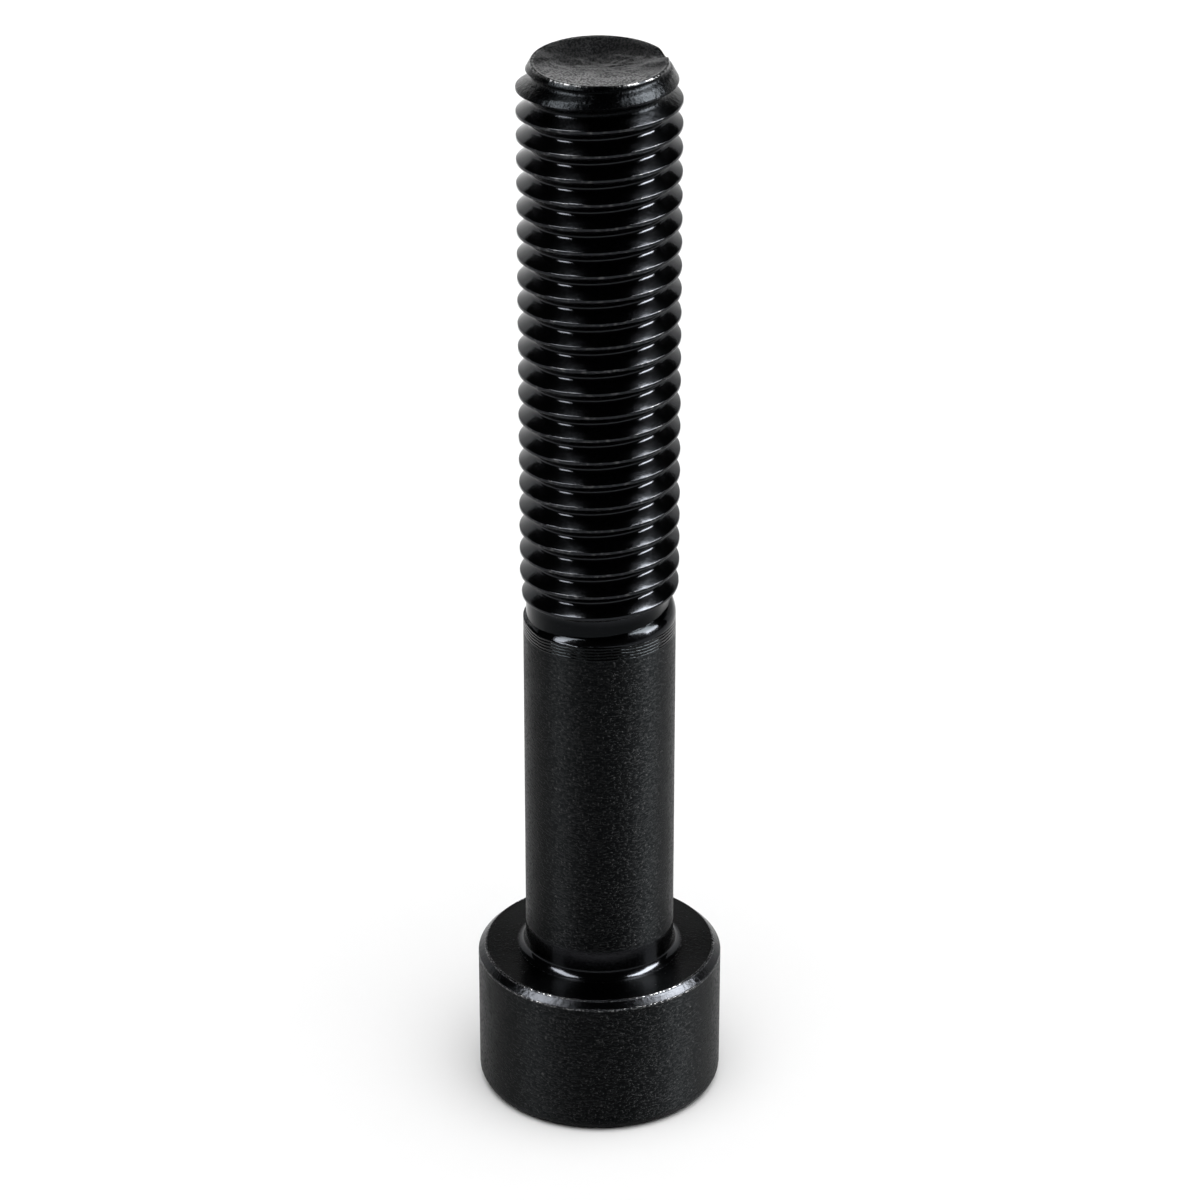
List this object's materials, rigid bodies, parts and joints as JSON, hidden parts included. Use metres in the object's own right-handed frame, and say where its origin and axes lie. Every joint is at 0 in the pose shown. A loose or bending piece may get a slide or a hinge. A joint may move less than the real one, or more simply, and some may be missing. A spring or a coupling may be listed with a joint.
{
  "type": "socket head cap screw",
  "caption": "Partly threaded socket head cap screw with a cylindrical head, a hexagon socket and a plain shank, in black oxide steel.",
  "frame": {"origin": "centre of the driving face of the head, which is the lowest face", "axes": "+Z along the screw's axis from the head to the tip, +Y across two flats of the hexagon socket, +X through two corners of the hexagon socket"},
  "size_m": [0.0158, 0.0158, 0.0697],
  "materials": {
    "black_oxide_steel": "black oxide steel, satin on the shank and head side, glossier on the thread and under the head"
  },
  "bodies": {
    "root": {"cap_screw": "black_oxide_steel"}
  },
  "joints": []
}
